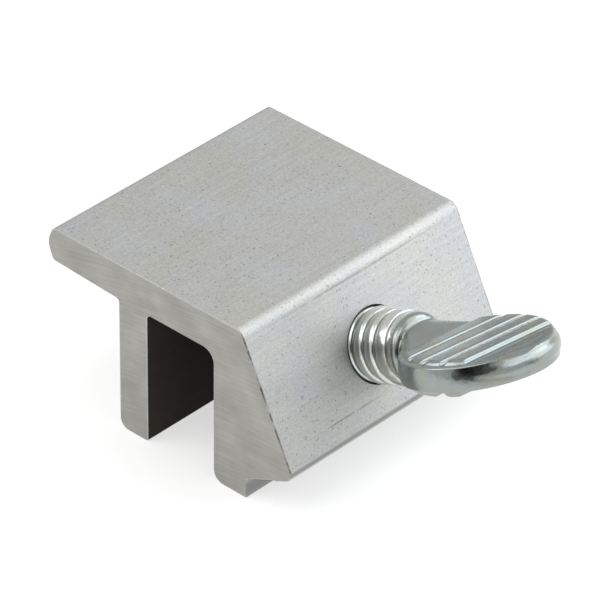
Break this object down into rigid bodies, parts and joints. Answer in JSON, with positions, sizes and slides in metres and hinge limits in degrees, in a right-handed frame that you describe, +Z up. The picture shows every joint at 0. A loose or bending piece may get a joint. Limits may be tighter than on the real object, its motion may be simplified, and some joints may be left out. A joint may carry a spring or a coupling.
{
  "type": "sliding window lock",
  "caption": "Extruded aluminium saddle that slides along a window track and is clamped there by a ribbed thumbscrew, to stop the sash.",
  "frame": {"origin": "middle of the slot's mouth: midway along the extrusion, midway between the two legs, level with the legs' ends", "axes": "+Z up from the legs to the top plate, +Y along the extrusion, which is the way the lock slides on its track, +X across it towards the thumbscrew"},
  "size_m": [0.0416, 0.0254, 0.0175],
  "materials": {
    "mill_aluminium": "mill finish, saw-cut ends",
    "zinc_plated_steel": "bright zinc plate"
  },
  "bodies": {
    "saddle": {"saddle": "mill_aluminium"},
    "thumbscrew": {"thumbscrew": "zinc_plated_steel"}
  },
  "joints": [
    {"name": "screw_travel", "type": "slide", "parent": "saddle", "child": "thumbscrew", "axis": [0.9272, 0, 0.3746], "range_m": [-0.00445, 0.00381]}
  ]
}
